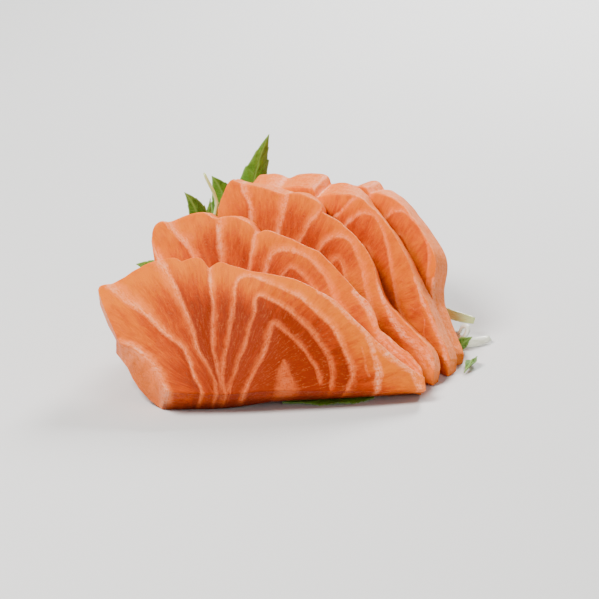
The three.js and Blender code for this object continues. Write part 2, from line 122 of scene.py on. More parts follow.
# Bands of fat on each slice, as [along, up] lines in millimetres: points, half width at the start and at
# the end, strength, and the side on which the paler flesh lies (1 is left of the line's direction)
FAT = {
    "slice_1": [
        ([(-9, 13.6), (-6.4, 12.4), (-3.6, 10), (-1.2, 7.3), (0.4, 3.5), (2.3, -1)], 0.9, 1.4, 1.0, 0),
        ([(-13.7, 29.8), (-11.6, 27.9), (-6.6, 23.7), (-3.1, 20.6), (-0.2, 17), (2.9, 14.1), (5.6, 11.8),
          (6.9, 8.3), (8.5, 4), (9.6, 1.4), (9.9, -2)], 2.1, 0.5, 0.95, 1),
        ([(0.1, 36.1), (1.6, 34.1), (3.4, 30.4), (5.1, 26), (6.8, 21.4), (8.4, 16.6), (9.5, 11.9),
          (11.5, 7.5), (13.2, 3.2), (13.8, -0.5), (14, -2)], 1.7, 0.42, 0.9, -1),
        ([(12.1, 33.7), (12.3, 30), (12.6, 24.6), (13, 20.6), (12.6, 15.9), (12.8, 12), (13.3, 6.7),
          (14.2, 2.9), (15.4, 0), (15.6, -2)], 1.05, 0.42, 0.9, 1),
        ([(16.7, -2), (16, 0), (15, 2.1), (15, 6.2), (15.5, 9.8), (16.5, 13.6), (17.3, 17.4), (18.1, 21.7),
          (18.7, 25.8), (19.6, 28.8), (21.4, 29.7), (23.3, 29.1), (25.9, 27.7), (29.7, 25.7), (33.6, 23.4),
          (35.8, 21.3), (38.3, 18.5), (40.6, 15.9), (42.3, 13), (43.5, 10), (44.4, 7), (44.3, 3.7),
          (43.3, 1.1)], 0.55, 0.65, 0.85, 1),
        ([(16.2, -1), (16.6, 2), (17.9, 5.6), (19, 8.8), (20.5, 12.4), (21.9, 16.3), (23.1, 20.5),
          (23.8, 23.4), (24.7, 24.1), (26.6, 23.1), (29.4, 21.2), (31.8, 19.1), (34.3, 16.6), (36.6, 13.3),
          (38.5, 10.1), (39.6, 6.9), (39.9, 3.9), (39.4, 1.2)], 0.55, 0.5, 0.85, 1),
        ([(20.1, -2.3), (20.5, 1.4), (22, 4.3), (23.5, 6.9), (24.9, 9.6), (26, 12.7), (26.9, 16),
          (27.4, 16.9), (29.2, 15.3), (31.4, 13.1), (33.4, 10.6), (35, 8.3), (36.3, 5.6), (36.7, 2.7)], 0.8,
         0.42, 0.85, 1),
        ([(29, 7.2), (28.8, 5), (29.2, 2), (29.5, -0.6)], 0.5, 2.5, 1.0, 0),
        ([(43.2, 21), (46, 17.9), (47.9, 15.8), (48.9, 14.2), (49.6, 12.5), (50.3, 10), (50.9, 7),
          (50.9, 4.6), (50.6, 2), (50.3, -1)], 0.4, 0.8, 0.85, 0),
        ([(38.5, 24.6), (41, 23), (43.4, 20.8), (46.2, 17.7), (48.9, 14.8), (51.2, 12), (53.4, 9.6),
          (55.6, 7.6), (58, 5.4), (60.5, 3.6)], 0.5, 1.4, 0.7, 0),
        ([(58.6, 4.6), (60, 2.8), (61, 0.8)], 0.4, 0.9, 0.8, 0),
        ([(47.5, 10.8), (48.3, 8.1), (48.4, 5.5), (49.1, 3.7)], 0.25, 0.3, 0.45, 0),
    ],
    "slice_2": [
        ([(-7.6, 27.6), (-5.6, 25.5), (-4, 23.3), (-1, 18), (1, 11), (3, 2)], 1.0, 1.0, 1.0, 0),
        ([(-4.6, 33.8), (-3.5, 32.6), (-1.9, 31), (0.4, 28.7), (2.6, 25.6), (4.5, 21), (6.3, 16), (7.6, 11),
          (8.8, 6), (10, 2)], 1.5, 0.6, 1.0, 1),
        ([(8, 35.6), (8.1, 33.7), (8.4, 31.8), (9.1, 28.3), (9.5, 24.8), (10.2, 19), (11.2, 13), (12.5, 7),
          (13.6, 2.5)], 1.2, 0.6, 1.0, 1),
        ([(17.9, 33.5), (16.9, 31.4), (16.5, 27.7), (16.2, 24.2), (15.6, 18), (15, 12), (14.6, 7),
          (14.3, 2.5)], 0.9, 0.5, 1.0, 1),
        ([(15.6, 2), (16.8, 8), (18.4, 14), (19.8, 19), (20.8, 23.5), (21.1, 25.2), (21.6, 27.2),
          (22.7, 28.4), (24.5, 29), (27.1, 29.2), (29.4, 28.5), (32, 26.7), (34.1, 24.4), (35.9, 22.1),
          (37.4, 19.6), (38.7, 17.6), (41, 13.5), (43, 9.5), (44.5, 5.5), (44, 2.5)], 0.75, 0.7, 0.9, 1),
        ([(17.5, 2), (19.5, 8), (22, 15), (24, 20.5), (25.5, 23.8), (26.8, 25.2), (28.1, 24.4), (30.6, 22.4),
          (33.5, 19), (36.5, 14.5), (39, 9), (39.6, 4)], 0.7, 0.5, 0.7, 1),
        ([(21, 2), (23.5, 7), (26, 12), (28, 17), (29, 18), (31, 15.5), (33.5, 11.5), (35.6, 7), (36.5, 3)],
         0.6, 0.5, 0.7, 1),
        ([(42.6, 21.6), (45.6, 19.2), (46.8, 17.4), (47.8, 15.6), (49, 13.6), (50, 12)], 0.8, 1.0, 0.95, 0),
        ([(49.6, 12.4), (53, 10.4), (57, 7.6), (60.4, 5)], 1.2, 1.4, 0.42, 0),
        ([(50, 12.9), (51.3, 12.2), (52.9, 11), (54.6, 9.9), (55.9, 9.1), (57.6, 8.1), (59.3, 6.9),
          (60.7, 5.6)], 0.3, 0.4, 0.75, 0),
        ([(49.3, 12.1), (51, 10.9), (52.7, 9.8), (54.4, 8.8), (56.1, 7.7), (57.8, 6.7), (59.5, 5.4),
          (61, 3.8)], 0.25, 0.4, 0.7, 0),
        ([(49, 11.6), (50.7, 10.4), (52.5, 9.3), (54.2, 8.2), (55.9, 7.1), (57.9, 5.9), (59.6, 4.5)], 0.25,
         0.35, 0.6, 0),
    ],
    "slice_3": [
        ([(3.9, 37.7), (4.9, 34.9), (5.9, 31.9), (6.6, 28.8), (7.6, 23), (8.8, 17), (10.2, 10), (11.6, 3)],
         1.1, 0.6, 0.95, 1),
        ([(14.9, 37), (15, 34.7), (14.7, 30.9), (14.2, 28.1), (13.8, 22), (13.6, 15), (13.6, 8), (13.7, 2.5)],
         1.3, 0.6, 0.95, -1),
        ([(23.8, 34.6), (22, 31.1), (20.6, 28), (19.2, 25), (17.6, 19), (16.6, 13), (15.6, 7), (15, 2.5)],
         0.9, 0.5, 0.7, -1),
        ([(16.4, 2), (18, 8), (20, 14.5), (22.2, 20), (24, 23), (25.2, 25.4), (26.9, 27.5), (28.6, 28.5),
          (30.5, 28.6), (32.5, 27.7), (34.2, 25.7), (35.5, 23.6), (36.8, 20.9), (38, 18), (39.4, 14.9),
          (41.4, 11.5), (43, 8), (44, 4)], 0.75, 0.7, 0.8, 1),
        ([(18.5, 2), (20.8, 8), (23.6, 14), (26.2, 19), (28.2, 21.3), (29.3, 22.9), (30.7, 22.6),
          (31.8, 20.4), (32.8, 17.9), (34.6, 13.5), (36.6, 9), (38, 4)], 0.6, 0.6, 0.7, 1),
        ([(41.2, 20.4), (43.7, 16.5), (45, 15.1), (46.2, 13.5), (47.3, 12), (49, 10.8), (51, 9.7), (53, 8.8),
          (54.7, 8), (56.3, 7.5), (58.5, 6.6), (60.5, 4.6)], 0.5, 1.1, 0.95, 0),
        ([(45.6, 15.2), (47.6, 13.3), (50, 12), (53, 10.6), (56.4, 9.4), (59.4, 7.8)], 0.8, 0.8, 0.4, 0),
        ([(46, 14.7), (47.6, 12.9), (49.5, 11.8), (51.9, 11), (54.3, 9.8), (56.4, 9), (58.4, 8.3), (60, 7.2)],
         0.2, 0.3, 0.6, 0),
        ([(54.5, 7), (56.5, 5.6), (58.2, 4)], 0.6, 0.8, 0.6, 0),
    ],
    "slice_4": [
        ([(2.2, 33.4), (4, 27), (6.5, 19), (9, 10), (11.4, 3)], 0.8, 0.5, 0.9, 1),
        ([(12.4, 33.4), (12.8, 28), (13, 21), (13.3, 13), (13.7, 3)], 0.9, 0.5, 0.9, 1),
        ([(23, 35.2), (20.8, 33.3), (18.7, 30.6), (16.9, 27.8), (16, 22), (15.4, 15), (15, 8), (14.6, 3)],
         0.7, 0.5, 0.75, 1),
        ([(16.2, 2), (17.6, 9), (19.2, 17), (20.2, 23), (21.4, 27.7), (22.9, 29.3), (24.9, 31), (27.3, 31.9),
          (29.2, 31.2), (31.1, 29.2), (32.8, 26.6), (34.4, 23.6), (35.9, 20), (37.5, 16.5), (39.4, 11.8),
          (41.3, 9.6), (43.6, 5), (43.6, 2)], 0.8, 0.55, 0.85, 1),
        ([(18.5, 2), (21, 9), (23.6, 16), (26, 22), (27.5, 23.6), (29, 22), (31.6, 17), (34, 11), (36, 5)],
         0.6, 0.5, 0.5, 1),
        ([(43.6, 20), (45.4, 17.6), (46.7, 15.8), (48.2, 14.5), (49.6, 13.3), (50.7, 12), (52.2, 10.6),
          (54, 8.6), (56.3, 5.8), (57.8, 3.4)], 0.6, 0.9, 0.9, 0),
        ([(42.9, 13.1), (43.9, 12.7), (45.1, 12.7), (46.3, 13.4), (47, 14.3)], 0.2, 0.2, 0.42, 0),
        ([(46.9, 12.6), (47.8, 11.6), (48.5, 10.1), (48.5, 8.6), (49.2, 6.9)], 0.2, 0.25, 0.45, 0),
        ([(53.6, 10), (54.6, 8.6), (55.9, 7.2), (57, 6.2)], 0.3, 0.3, 0.5, 0),
    ],
    "slice_5": [
        ([(3, 29.4), (5, 22), (8, 13), (11.4, 3)], 0.8, 0.5, 0.9, 1),
        ([(12.3, 31), (12.6, 24), (13, 15), (13.7, 3)], 0.8, 0.5, 0.8, 1),
        ([(19.4, 32.4), (18, 29), (17, 25), (16, 18), (15.2, 10), (14.8, 3)], 0.8, 0.5, 0.8, 1),
        ([(16.5, 2), (18.4, 9), (20.8, 16), (23.4, 23.5), (26, 28), (28.4, 29.6), (30.8, 30.1), (33.1, 29.4),
          (35.5, 28.3), (38.1, 26.6), (40.3, 24.3), (41.3, 22), (41.8, 19.8), (42, 17), (42.2, 13.8),
          (42.9, 9), (43.6, 5), (43.4, 2)], 0.75, 0.55, 0.85, 1),
        ([(18.5, 2), (21, 8), (24, 15), (27, 21), (29.2, 24.3), (31.2, 24.2), (33.2, 22.5), (35.6, 19.7),
          (38, 15.5), (39.2, 11), (39.8, 6), (39.8, 3)], 0.5, 0.5, 0.45, 1),
        ([(44.6, 17.5), (45.2, 14), (46.6, 11.4), (49.4, 9), (52.5, 6.8), (56, 4.2)], 0.8, 1.1, 0.9, 0),
    ],
}
# The fibres of the flesh spread from here
FOCUS = (14.5, -2.0)


def lerp(a, b, t):
    return a + (b - a) * t


def smooth(x, a, b):
    t = np.clip((np.asarray(x, float) - a) / (b - a), 0, 1)
    return t * t * (3 - 2 * t)


def bell(x, width):
    """1 at nought, and falling off to both sides."""
    return np.exp(-((x / width) ** 2))


def fade(x, length):
    """1 up to nought, and falling off beyond it."""
    return np.exp(-np.maximum(x, 0) / length)


def along(sl, key, u, power=1):
    """A value of a slice that changes from its broad end to its tail."""
    return lerp(*sl[key], np.clip(u / sl["length"], 0, 1) ** power)


def thick_at(sl, u):
    return along(sl, "thick", u, THINNING)


def foot_at(sl, u, steps=48):
    """The lower edge of a slice's back, followed from the tail."""
    step = (sl["length"] - u) / steps
    x = np.full_like(u, sl["tail"][0])
    y = np.full_like(u, sl["tail"][1])
    for n in range(steps):
        turn = np.radians(along(sl, "turn", sl["length"] - (n + 0.5) * step))
        x = x - np.cos(turn) * step
        y = y + np.sin(turn) * step
    return np.stack([x, y, sl["lift"] * smooth(u, *LIFT) - SINK], -1)


def directions(sl, u):
    """The ways up a slice's face and out of it."""
    turn, lean = (np.radians(along(sl, key, u)) for key in ("turn", "lean"))
    rise = np.stack([np.sin(lean) * np.sin(turn), np.sin(lean) * np.cos(turn), np.cos(lean)], -1)
    return rise, np.stack([-np.cos(lean) * np.sin(turn), -np.cos(lean) * np.cos(turn), np.sin(lean)], -1)


def in_slice(sl, u, v, w):
    """A point of a slice in the part's frame, in mm: along it, up its face and out from its back."""
    rise, out = directions(sl, u)
    point = foot_at(sl, u) + rise * v[..., None] + out * w[..., None]
    point[..., 2] = np.maximum(point[..., 2], 0)
    return point + SHIFT


def spline(points, corners=(), per=12):
    """A Catmull-Rom curve through the points, sharp at the corners."""
    p = np.array(points, float)
    out = []
    for i in range(len(p) - 1):
        before = p[i - 1] if i > 0 and i not in corners else 2 * p[i] - p[i + 1]
        after = p[i + 2] if i + 2 < len(p) and i + 1 not in corners else 2 * p[i + 1] - p[i]
        t = np.linspace(0, 1, per, endpoint=False)[:, None]
        m0, m1 = (p[i + 1] - before) / 2, (after - p[i]) / 2
        out.append(
            (2 * t**3 - 3 * t**2 + 1) * p[i] + (t**3 - 2 * t**2 + t) * m0
            + (3 * t**2 - 2 * t**3) * p[i + 1] + (t**3 - t**2) * m1
        )
    out.append(p[-1:])
    return np.concatenate(out)


def resample(curve, count):
    """A curve as evenly spaced points."""
    length = np.concatenate([[0], np.cumsum(np.linalg.norm(np.diff(curve, axis=0), axis=1))])
    at = np.linspace(0, length[-1], count)
    return np.stack([np.interp(at, length, curve[:, k]) for k in range(curve.shape[1])], -1)


def hash_noise(x, y, seed):
    """Smooth repeatable noise from -1 to 1 on two coordinates."""
    size = 256
    rng = np.random.RandomState(seed)
    table = rng.rand(size, size) * 2 - 1
    x0, y0 = np.floor(x).astype(int), np.floor(y).astype(int)
    fx, fy = x - x0, y - y0
    fx, fy = fx * fx * (3 - 2 * fx), fy * fy * (3 - 2 * fy)
    low, high = (
        lerp(table[x0 % size, row % size], table[(x0 + 1) % size, row % size], fx) for row in (y0, y0 + 1)
    )
    return lerp(low, high, fy)


def mottle(u, v, per_mm, seed):
    return hash_noise(u * per_mm, v * per_mm, seed)


def line_distance(u, v, pts):
    """Signed distance to a line, and how far along it the nearest point is, from 0 to 1."""
    q = np.stack([u, v], -1)[:, None, :]
    a, b = pts[:-1][None], pts[1:][None]
    ab = b - a
    t = np.clip(((q - a) * ab).sum(-1) / (ab**2).sum(-1), 0, 1)
    near = a + ab * t[..., None]
    diff = q - near
    dist = np.sqrt((diff**2).sum(-1))
    best = dist.argmin(1)
    rows = np.arange(len(u))
    cross = ab[0, best, 0] * diff[rows, best, 1] - ab[0, best, 1] * diff[rows, best, 0]
    where = (best + t[rows, best]) / (len(pts) - 1)
    return dist[rows, best] * np.sign(cross), where


# How the bands of fat waver: per millimetre, by how much, apart for the two directions, seed
WAVERS = [(0.25, 0.3, 40, 11), (1.6, 0.06, 9, 31)]
# Sideways shift of the bands for each millimetre below the face
BAND_SKEW = 0.12
# A band that starts before the first and ends past the second of these arches over the middle. It is
# wider by the first factor on the way up and by the second on the way down
ARCH_ENDS = (22, 35)
ARCH_WIDER = (1.2, 1.55)
ARCH_TURN = (0.4, 0.65)
# Strong bands that start past this are whiter and broader than those over the rest
TAIL_BANDS = 38
BAND_GROOVE = 0.11
# The front slice's lip is split where its bands of fat meet, and the split is painted darker as shade
SPLIT_AT = 16.2
SPLIT_WIDTH = 0.22
SPLIT_TOP = (0.2, 1.4)
SPLIT_GROOVE = 0.35


def colour_depth(n, uu, vv, rim):
    """How deep the colour of the flesh between the bands is, from the rim to the middle of a slice, with
    painted shade on the front slice's middle and painted light in the crevices of the others.
    """
    if n == 0:
        # The front slice's middle is deeper partly by the flesh's own colour and partly as painted shade
        body = (0.13 + 0.92 * smooth(rim, 1.2, 12)) * lerp(1, 0.75, smooth(uu, 42, 54))
        return body * (lerp(0.3, 1, smooth(uu, -8, 17)) * lerp(0.8, 1, smooth(vv, -1.2, 1.2)))
    middle = np.exp(-((uu - 25) ** 2 / (2 * 14.0**2) + (vv - 9) ** 2 / (2 * 11.0**2)))
    body = 0.24 + 0.30 * middle + 0.40 * smooth(rim, 1.2, 8)
    # Painted light: the flesh is lighter low towards the tail, in the crevice that the slice ahead shades
    crevice_painted_light = smooth(uu, 25, 36) * smooth(-vv, -28, -18)
    body *= lerp(1, 0.3, crevice_painted_light) * lerp(0.4, 1, smooth(uu, -4, 9))
    return body + 0.28 * smooth(uu, 36, 46) * smooth(rim, 0.8, 3) * (1 - smooth(uu, 54, 60))


def fields(sl, u, v, w, edge):
    """The flesh at each point: fat, the white seams in it, depth of colour together with painted shade and
    light, relief, radius and angle about the focus, distance from the rim, and place along the nearest band."""
    n = SLICES.index(sl)
    uu, vv = u + BAND_SKEW * (thick_at(sl, u) - w), v
    for per_mm, size, apart, seed in WAVERS:
        uu = uu + size * mottle(u, v, per_mm, seed + n)
        vv = vv + size * hash_noise(u * per_mm + apart, v * per_mm, seed + 1 + n)
    ragged = 1 + 0.3 * mottle(u, v, 0.5, 50 + n) + 0.2 * mottle(u, v, 1.5, 55 + n)
    fat, seam, halo, depth_and_shade, relief = (np.zeros_like(u) for _ in range(5))
    band = np.zeros((len(u), 3))
    for line, (points, half0, half1, strength, pale) in enumerate(FAT[sl["name"]]):
        curve = resample(spline(points, per=6), max(12, len(points) * 5))
        length = np.linalg.norm(np.diff(curve, axis=0), axis=1).sum()
        d, where = line_distance(uu, vv, curve)
        half = lerp(half0, half1, np.minimum(1, where * 1.3)) * ragged
        arch = points[0][0] < ARCH_ENDS[0] and points[-1][0] > ARCH_ENDS[1]
        if arch:
            half = half * lerp(*ARCH_WIDER, smooth(where, *ARCH_TURN))
        # Sharp towards the deeper flesh, fading out towards the paler
        side = d * pale if pale else np.abs(d)
        fading = 1 - smooth(side, 0.4 * half, (2.3 if pale else 1.5) * half + 0.1)
        cover = strength * np.where(side > 0, fading, bell(side, 0.3 * half + 0.1))
        nearer = cover > fat
        band[nearer] = np.stack([where * length, d, np.full_like(u, line * 5.0)], -1)[nearer]
        fat = np.maximum(fat, cover)
        # The white seam keeps to the sharp side, and the further half of an arch is fainter
        tail_band = points[0][0] > TAIL_BANDS and strength > 0.65
        bright = 0.75 + 0.35 * hash_noise(where * len(points) * 1.1, np.full_like(u, half0 * 9), 60 + n)
        inside = d * pale - 0.25 * half if pale else d
        core = 0.2 + (0.75 if tail_band else 0.45) * half
        power = lerp(1, 0.45 if n else 0.8, smooth(where, 0.4, 0.6)) if arch else 1
        power *= 1.35 if tail_band else 1
        seam = np.maximum(seam, power * strength * bright * bell(inside, core))
        if pale:
            halo = np.maximum(halo, np.where(side > 0, fade(side - half * 0.4, 1.6), 0))
            depth_and_shade += (0.1 if n else 0.2) * fade(-side - half * 0.4, 2.2) * (side < 0)
        relief -= BAND_GROOVE * strength * bell(d, half + 0.35)
    rim = np.abs(line_distance(u, v, edge)[0])
    # A pale line along each rim, partly membrane and partly a painted highlight on the edge
    fat = np.maximum(fat, 0.3 * bell(rim, 0.35))
    # A thin membrane closes each slice along its outer side, brightened as a painted highlight along the
    # edge, and its tip is fat
    membrane_and_highlight = smooth(u, 18, 32) * (0.75 + 0.4 * mottle(u, v, 0.5, 80 + n))
    seam = np.maximum(seam, 0.6 * membrane_and_highlight * bell(rim, 0.32))
    end = sl["edge"][-1][0]
    tip = 0.75 * smooth(u, end - 4, end - 0.5) * (0.7 + 0.3 * mottle(u, v, 1.3, 65 + n))
    fat = np.maximum(fat, tip)
    body = colour_depth(n, uu, vv, rim)
    if n == 0:
        split = bell(uu - SPLIT_AT, SPLIT_WIDTH) * (1 - smooth(vv, *SPLIT_TOP))
        # Painted shade: the flesh is darker down the split
        body += 1.2 * split
        fat *= 1 - 0.8 * split
        seam *= 1 - split
        relief -= SPLIT_GROOVE * split
    depth_and_shade = body + depth_and_shade * lerp(0.5, 1, smooth(uu, -12, 8)) - 0.17 * fade(rim, 2.4) - 0.22 * halo
    radius = np.hypot(uu - FOCUS[0], vv - FOCUS[1])
    angle = np.arctan2(vv - FOCUS[1], uu - FOCUS[0])
    return fat, seam, np.clip(depth_and_shade, 0, 1.2), relief, radius, angle, rim, band


def make_mesh(name, verts, faces, attributes):
    """A smooth mesh piece from points in millimetres and faces that all have as many corners."""
    mesh = bpy.data.meshes.new(name)
    verts = np.asarray(verts, np.float32) * MM
    faces = np.asarray(faces, np.int32)
    mesh.vertices.add(len(verts))
    mesh.vertices.foreach_set("co", verts.ravel())
    mesh.loops.add(faces.size)
    mesh.loops.foreach_set("vertex_index", faces.ravel())
    mesh.polygons.add(len(faces))
    mesh.polygons.foreach_set("loop_start", np.arange(0, faces.size, faces.shape[1], dtype=np.int32))
    mesh.update(calc_edges=True)
    mesh.validate()
    mesh.polygons.foreach_set("use_smooth", np.ones(len(mesh.polygons), bool))
    for key, values in attributes.items():
        values = np.asarray(values, np.float32)
        kind, slot = ("FLOAT", "value") if values.ndim == 1 else ("FLOAT_VECTOR", "vector")
        mesh.attributes.new(key, kind, "POINT").data.foreach_set(slot, values.ravel())
    mesh.update()
    piece = bpy.data.objects.new(name, mesh)
    bpy.context.scene.collection.objects.link(piece)
    return piece


def grid_faces(grid):
    return np.stack([grid[:-1, :-1], grid[1:, :-1], grid[1:, 1:], grid[:-1, 1:]], -1).reshape(-1, 4)


def tube_faces(rings):
    """Faces between rings of points, each closed on itself."""
    after = np.roll(rings, -1, axis=1)
    return np.stack([rings[:-1], after[:-1], after[1:], rings[1:]], -1).reshape(-1, 4)


# Grid of a slice's faces, and the layers of its rim between the two roundings
COLUMNS = 230
ROWS = 92
RINGS = 20
ROUNDING = [math.radians(a) for a in (22, 45, 67, 90)]
# Columns at each end over which a face draws in to its rounded rim
DRAWN_IN = 6
# A lower place on the edge than its neighbours by more than this is a sharp notch
NOTCH = 0.35
WOBBLE = 0.16
FLAP_HEIGHT = 0.47
HIGHEST_RELIEF = 0.1


def upper_edge(sl):
    """The outline of a slice's outer side as evenly spaced points, a little uneven."""
    ups = [up for _, up in sl["edge"]]
    corners = {i for i in range(1, len(ups) - 1) if ups[i] < min(ups[i - 1], ups[i + 1]) - NOTCH}
    edge = resample(spline(sl["edge"], corners), COLUMNS + 1)
    wobble = hash_noise(np.arange(COLUMNS + 1) * 0.16, np.zeros(COLUMNS + 1), 71 + SLICES.index(sl))
    edge[:, 1] += WOBBLE * wobble * np.sin(np.linspace(0, math.pi, COLUMNS + 1)) ** 0.3
    return edge


def surface(sl, edge, column, row, inset, out, limit):
    """Points of a slice's layer: in the part's frame, in the slice's coordinates and straight on its face.
    column and row index the grid, out gives the depth by the thickness, and limit is the most of that."""
    start = sl["edge"][0][0]
    edge_u, edge_v = edge[column, 0], edge[column, 1]
    reach = (edge_u - start) / (SLANT_REACH - start)
    foot = np.where(reach < 1, lerp(FOOT, SLANT_REACH, reach), edge_u)
    height = row / ROWS
    u = lerp(foot, edge_u, height)
    thick = thick_at(sl, u)
    depth = out(np.minimum(thick, limit))
    front, back = (np.interp(height, *zip(*sl["end"][side])) for side in ("front", "back"))
    u = u + lerp(back, front, np.clip(depth / thick, 0, 1)) * np.maximum(0, 1 - reach * END_SPREAD)
    ends = [np.maximum(0, 1 - columns / DRAWN_IN) for columns in (column, COLUMNS - column)]
    u = u + inset * (ends[0] - ends[1])
    on_face = np.stack([u, lerp(inset, edge_v - inset, height)], -1)
    tailward = smooth(u, *SLANT_SPAN)
    v = on_face[:, 1] + lerp(*sl["slant"], tailward) * (thick - depth) * height
    u = u - sl["shear"] * tailward * (thick - depth)
    return in_slice(sl, u, v, depth), np.stack([u, v, depth], -1), on_face


def free_depths(back, front, ahead):
    """How far the slice can reach at each place of the grid before it meets the slice ahead of it."""
    free = np.full((COLUMNS + 1) * (ROWS + 1), np.inf)
    if ahead is None:
        return free
    for i in range(len(free)):
        ray = Vector(front[i] - back[i])
        if ray.length < 1e-6:
            continue
        hit, _, _, distance = ahead.ray_cast(Vector(back[i]), ray.normalized(), ray.length + CLEARANCE)
        if hit is not None:
            free[i] = max(distance - CLEARANCE, LEAST_THICKNESS)
    grid = free.reshape(COLUMNS + 1, ROWS + 1)
    return np.minimum(grid, np.pad(grid, 1, "edge")[2:, 1:-1]).ravel()


def rounding(thick):
    return np.minimum(EDGE_ROUND, thick * 0.45)


def rim_layers():
    """The rim's layers from the front to the back: inset, depth by the thickness, and whether it is flat."""
    bends = [(EDGE_ROUND * (1 - math.sin(a)), EDGE_ROUND * (1 - math.cos(a))) for a in ROUNDING]
    for inset, off in bends:
        yield inset, lambda t: t - off * (rounding(t) / EDGE_ROUND), False
    for part in np.linspace(0, 1, RINGS)[1:-1]:
        yield 0, lambda t: lerp(t - rounding(t), rounding(t), part), True
    for inset, off in reversed(bends):
        yield inset, lambda t: off * (rounding(t) / EDGE_ROUND), False


def uneven(points, at, n):
    """Points of the outer side, moved a little so that it isn't quite even."""
    bulge = 0.12 * hash_noise(at[:, 0] * 0.8, at[:, 2] * 0.9 + at[:, 1] * 0.2, 90 + n)
    bulge += 0.06 * hash_noise(at[:, 0] * 2.6, at[:, 2] * 1.4, 95 + n)
    points = points + np.where(points[:, 2:3] > 0.3, bulge[:, None], 0) * np.array([[0.2, 0.3, 1.0]])
    points[:, 2] = np.maximum(points[:, 2], 0)
    return points


def rim_looks(sl, rim, coords, start, fat, seam):
    """The outer skin, the front slice's flap and the painted shade on the underside, as shares at each point
    of a slice.
    The rim's points begin at start, and their fat and seam are changed in place."""
    n = SLICES.index(sl)
    rear = sl is SLICES[-1]
    skin, flap, underside_shade = (np.zeros(len(coords)) for _ in range(3))
    column, row = rim.T
    is_top = (row == ROWS).astype(float)
    is_flap = ((column == 0) & (row < ROWS * FLAP_HEIGHT)).astype(float) * (n == 0)
    is_end = ((column == 0) & (is_flap == 0)).astype(float)
    tail = sl["edge"][-1][0]
    for k, (_, _, is_flat) in enumerate(rim_layers()):
        amount = 1.0 if is_flat else 0.55
        ring = slice(start + k * len(rim), start + (k + 1) * len(rim))
        skin[ring] = is_top * amount
        flap[ring] = is_flap * amount
        # Painted shade on the underside, growing towards the back
        underside_shade[ring] = (row == 0) * smooth(k, 9, 20)
        fat[ring] *= 1 - 0.6 * is_end * amount
        seam[ring] *= 1 - 0.7 * is_end * amount
        if rear:
            fat[ring] *= 1 - 0.85 * is_top * smooth(k, 3, 9)
            seam[ring] *= 1 - 0.9 * is_top * smooth(k, 3, 9)
        # Streaks of membrane on the outer side, most of them towards the tail
        across, along = coords[ring, 2], coords[ring, 0]
        streaks = 0.5 + 0.8 * hash_noise(across * 2.4 + 0.1 * along, along * 0.2, 120 + n)
        film = smooth(along, tail - 18, tail - 5) * sl["film"][0]
        film = np.maximum(film, sl["film"][1]) * np.clip(streaks, 0, 1)
        if rear:
            film = 0.4 + 0.5 * film
        fat[ring] = np.maximum(fat[ring], is_top * film)
        seam[ring] = np.maximum(seam[ring], is_top * film * 0.7)
        # The flap's front edge carries a pale membrane, and its back edge a painted highlight
        flap_membrane_and_highlight = max(bell(k - 1, 2.8), 0.8 * bell(k - 24, 2.2))
        fat[ring] = np.maximum(fat[ring], is_flap * flap_membrane_and_highlight)
    return skin, flap, underside_shade


def build_slice(sl, ahead):
    """A slice that keeps clear of the one ahead, a tree of faces: the piece, its points and its faces."""
    n = SLICES.index(sl)
    edge = upper_edge(sl)
    column, row = (x.ravel() for x in np.indices((COLUMNS + 1, ROWS + 1)))
    cells = len(column)
    grid = np.arange(cells).reshape(COLUMNS + 1, ROWS + 1)
    back = surface(sl, edge, column, row, EDGE_ROUND, np.zeros_like, np.inf)
    whole = surface(sl, edge, column, row, EDGE_ROUND, np.positive, np.inf)
    limit = free_depths(back[0], whole[0], ahead)

    # The two faces, and the rim round them from the front to the back
    layers = [surface(sl, edge, column, row, EDGE_ROUND, np.positive, limit), back]
    rim = [(c, 0) for c in range(COLUMNS)] + [(COLUMNS, r) for r in range(ROWS)]
    rim += [(c, ROWS) for c in range(COLUMNS, 0, -1)] + [(0, r) for r in range(ROWS, 0, -1)]
    rim = np.array(rim)
    around = grid[rim[:, 0], rim[:, 1]]
    for inset, out, is_flat in rim_layers():
        points, at, on_face = surface(sl, edge, *rim.T, inset, out, limit[around])
        layers.append((uneven(points, at, n) if is_flat else points, at, on_face))
    verts, coords, flat = (np.concatenate(parts) for parts in zip(*layers))
    between = np.arange(2 * cells, len(verts)).reshape(-1, len(rim))
    rings = np.concatenate([[around], between, [cells + around]])
    faces = np.concatenate([
        grid_faces(grid), grid_faces(grid)[:, ::-1] + cells, np.roll(tube_faces(rings)[:, ::-1], 1, axis=1),
    ])

    # Relief on the two cut faces: the flesh stands a little proud between the bands of fat
    fat, seam, depth_and_shade, relief, radius, angle, rim_dist, band = fields(
        sl, flat[:, 0], flat[:, 1], coords[:, 2], edge)
    grain = 0.05 * hash_noise(angle * 14, radius * 0.25, 101 + n)
    grain += 0.07 * mottle(coords[:, 0], coords[:, 1], 0.45, 102 + n)
    amount = (relief + grain) * smooth(rim_dist, 0.2, 1.6)
    amount[cells : 2 * cells] *= -1
    amount[2 * cells :] = 0
    verts += directions(sl, coords[:, 0])[1] * np.minimum(amount, HIGHEST_RELIEF)[:, None]
    verts[:, 2] = np.maximum(verts[:, 2], 0)
    skin, flap, underside_shade = rim_looks(sl, rim, coords, 2 * cells, fat, seam)
    attributes = {
        "fat": fat, "seam": seam, "flap": flap, "underside_shade": underside_shade, "depth_and_shade": depth_and_shade, "skin": skin, "band": band,
        "fibre": np.stack([angle * 46, radius * 0.3, coords[:, 2] * 1.2], -1),
        "place": coords + np.array([n * 80.0, 0, 0]),
    }
    return make_mesh("salmon_" + sl["name"], verts, faces, attributes), verts, faces


